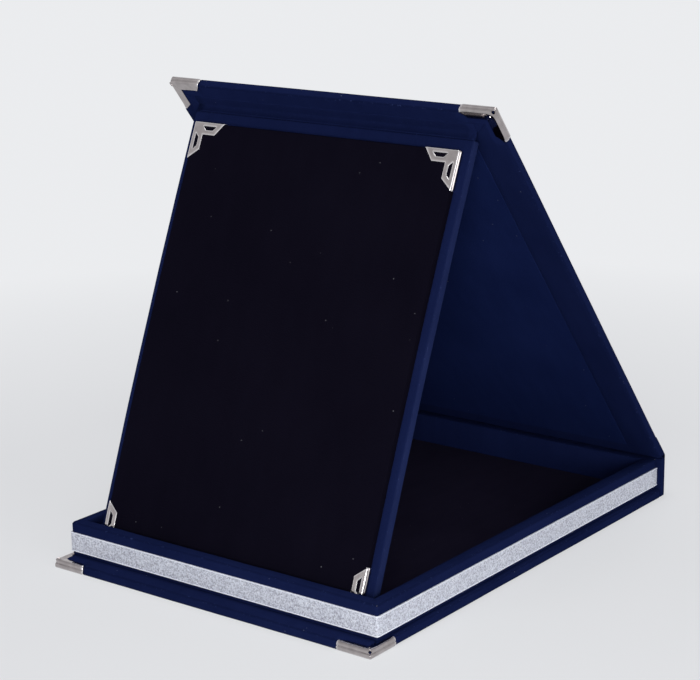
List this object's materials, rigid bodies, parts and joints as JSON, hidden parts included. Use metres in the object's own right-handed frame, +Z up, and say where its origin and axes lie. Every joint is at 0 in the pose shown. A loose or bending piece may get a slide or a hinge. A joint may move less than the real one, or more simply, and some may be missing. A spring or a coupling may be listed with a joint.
{
  "type": "award presentation box",
  "caption": "Velvet presentation box whose lid and hinged inner panel stand open as an easel for a plaque, with a tray below and metal corners.",
  "frame": {"origin": "under the middle of the whole footprint, on the table", "axes": "+Y from the open front to the hinged spine, +X to the right seen from the front, +Z up"},
  "size_m": [0.1968, 0.2698, 0.2349],
  "materials": {
    "velvet": "short navy velvet pile",
    "flock": "black flock, matt",
    "greyboard": "raw grey board",
    "nickel": "nickel plated sheet, polished",
    "glitter": "silver glitter ribbon with bright selvedges"
  },
  "bodies": {
    "case": {"base_board": "greyboard", "base_cover": "velvet", "base_corner_left": "nickel", "base_corner_right": "nickel", "tray_front_wall": "greyboard", "tray_back_wall": "greyboard", "tray_left_wall": "greyboard", "tray_right_wall": "greyboard", "tray_cover": "velvet", "floor_card": "greyboard", "floor_flock": "flock", "glitter_ribbon": "glitter", "spine_board": "greyboard", "spine_cover": "velvet"},
    "lid": {"lid_board": "greyboard", "lid_cover": "velvet", "lid_lining": "velvet", "lid_hinge_cloth": "velvet", "lid_corner_left": "nickel", "lid_corner_right": "nickel"},
    "easel": {"easel_board": "greyboard", "easel_cover": "velvet", "easel_hinge_cloth": "velvet", "plaque_board": "greyboard", "plaque_flock": "flock", "plaque_corner_top_left": "nickel", "plaque_corner_top_right": "nickel", "plaque_corner_bottom_left": "nickel", "plaque_corner_bottom_right": "nickel"}
  },
  "joints": [
    {"name": "lid_hinge", "type": "hinge", "parent": "case", "child": "lid", "pos_m": [0, 0.1337, 0.0232], "axis": [1, 0, 0], "range_deg": [-132, 0]},
    {"name": "easel_hinge", "type": "hinge", "parent": "lid", "child": "easel", "pos_m": [0, -0.02874, 0.21787], "axis": [1, 0, 0], "range_deg": [0, 60.84]}
  ],
  "couplings": [
    {"joint": "easel_hinge", "follows": "lid_hinge", "ratio": -0.4609}
  ]
}
